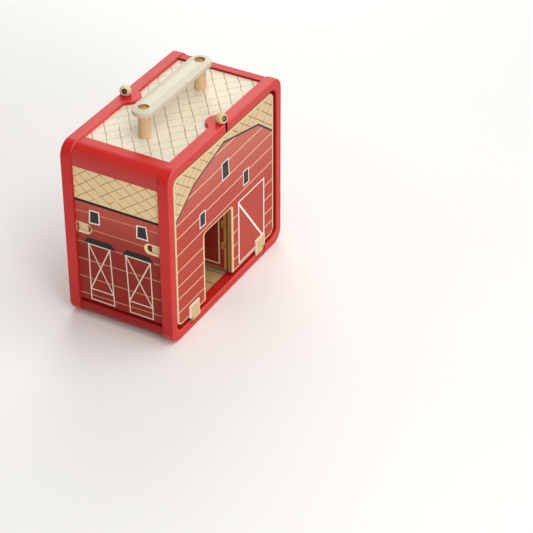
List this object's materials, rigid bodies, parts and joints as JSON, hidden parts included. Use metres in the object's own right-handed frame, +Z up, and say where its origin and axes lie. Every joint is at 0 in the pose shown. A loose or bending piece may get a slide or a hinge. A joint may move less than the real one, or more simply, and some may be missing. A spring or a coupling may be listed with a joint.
{
  "type": "toy barn",
  "caption": "Wooden toy barn in a rounded carry frame, with fold-down front, back and end walls, a swinging plank door and a bar handle.",
  "frame": {"origin": "middle of the footprint, on the ground", "axes": "+X to the right along the front, +Y to the back, +Z up; the doorway faces -Y"},
  "size_m": [0.2886, 0.16, 0.2986],
  "materials": {
    "red_paint": "satin red paint on beech",
    "cream_paint": "satin cream paint on beech",
    "beech": "clear matt lacquer on beech",
    "roof_print": "board printed with shingle lines",
    "plank_print": "board printed with plank lines",
    "siding_print": "board printed with red siding, windows and doors",
    "steel": "bright steel",
    "brass": "plated screw"
  },
  "bodies": {
    "barn": {"front_frame": "red_paint", "back_frame": "red_paint", "top_corner_left": "red_paint", "top_corner_right": "red_paint", "base_corner_left": "red_paint", "base_corner_right": "red_paint", "frame_dowels": "beech", "roof_panel": "roof_print", "floor_panel": "plank_print", "right_end_wall": "siding_print", "handle_bar": "cream_paint", "handle_post_left": "beech", "handle_post_right": "beech", "handle_screws": "steel", "front_hinge_pins": "steel", "back_hinge_pins": "steel", "left_wall_pins": "steel"},
    "front_panel": {"front_panel": "siding_print", "front_hinge_left": "beech", "front_hinge_right": "beech", "front_knob_pin": "steel", "door_lugs": "beech", "door_pins": "steel"},
    "back_panel": {"back_panel": "siding_print", "back_hinge_left": "beech", "back_hinge_right": "beech", "back_knob_pin": "steel"},
    "front_knob": {"front_knob": "beech", "front_knob_screw": "brass"},
    "back_knob": {"back_knob": "beech", "back_knob_screw": "brass"},
    "door": {"door_leaf": "siding_print"},
    "left_wall": {"left_end_wall": "siding_print"},
    "front_bolt": {"left_wall_front_bolt": "beech"},
    "back_bolt": {"left_wall_back_bolt": "beech"}
  },
  "joints": [
    {"name": "front_panel_fold", "type": "hinge", "parent": "barn", "child": "front_panel", "pos_m": [0, -0.0775, 0.0104], "axis": [1, 0, 0], "range_deg": [0, 90]},
    {"name": "back_panel_fold", "type": "hinge", "parent": "barn", "child": "back_panel", "pos_m": [0, 0.0775, 0.0104], "axis": [-1, 0, 0], "range_deg": [0, 90]},
    {"name": "front_knob_turn", "type": "hinge", "parent": "front_panel", "child": "front_knob", "pos_m": [0, -0.072, 0.2662], "axis": [0, 0, 1], "continuous": true},
    {"name": "back_knob_turn", "type": "hinge", "parent": "back_panel", "child": "back_knob", "pos_m": [0, 0.072, 0.2662], "axis": [0, 0, 1], "continuous": true},
    {"name": "door_swing", "type": "hinge", "parent": "front_panel", "child": "door", "pos_m": [0.01795, -0.0653, 0.075], "axis": [0, 0, 1], "range_deg": [0, 90]},
    {"name": "left_wall_fold", "type": "hinge", "parent": "barn", "child": "left_wall", "pos_m": [-0.137, 0, 0.0295], "axis": [0, -1, 0], "range_deg": [0, 90]},
    {"name": "front_bolt_slide", "type": "slide", "parent": "left_wall", "child": "front_bolt", "axis": [0, -1, 0], "range_m": [-0.0033, 0.0042]},
    {"name": "back_bolt_slide", "type": "slide", "parent": "left_wall", "child": "back_bolt", "axis": [0, 1, 0], "range_m": [-0.0008, 0.0068]}
  ]
}
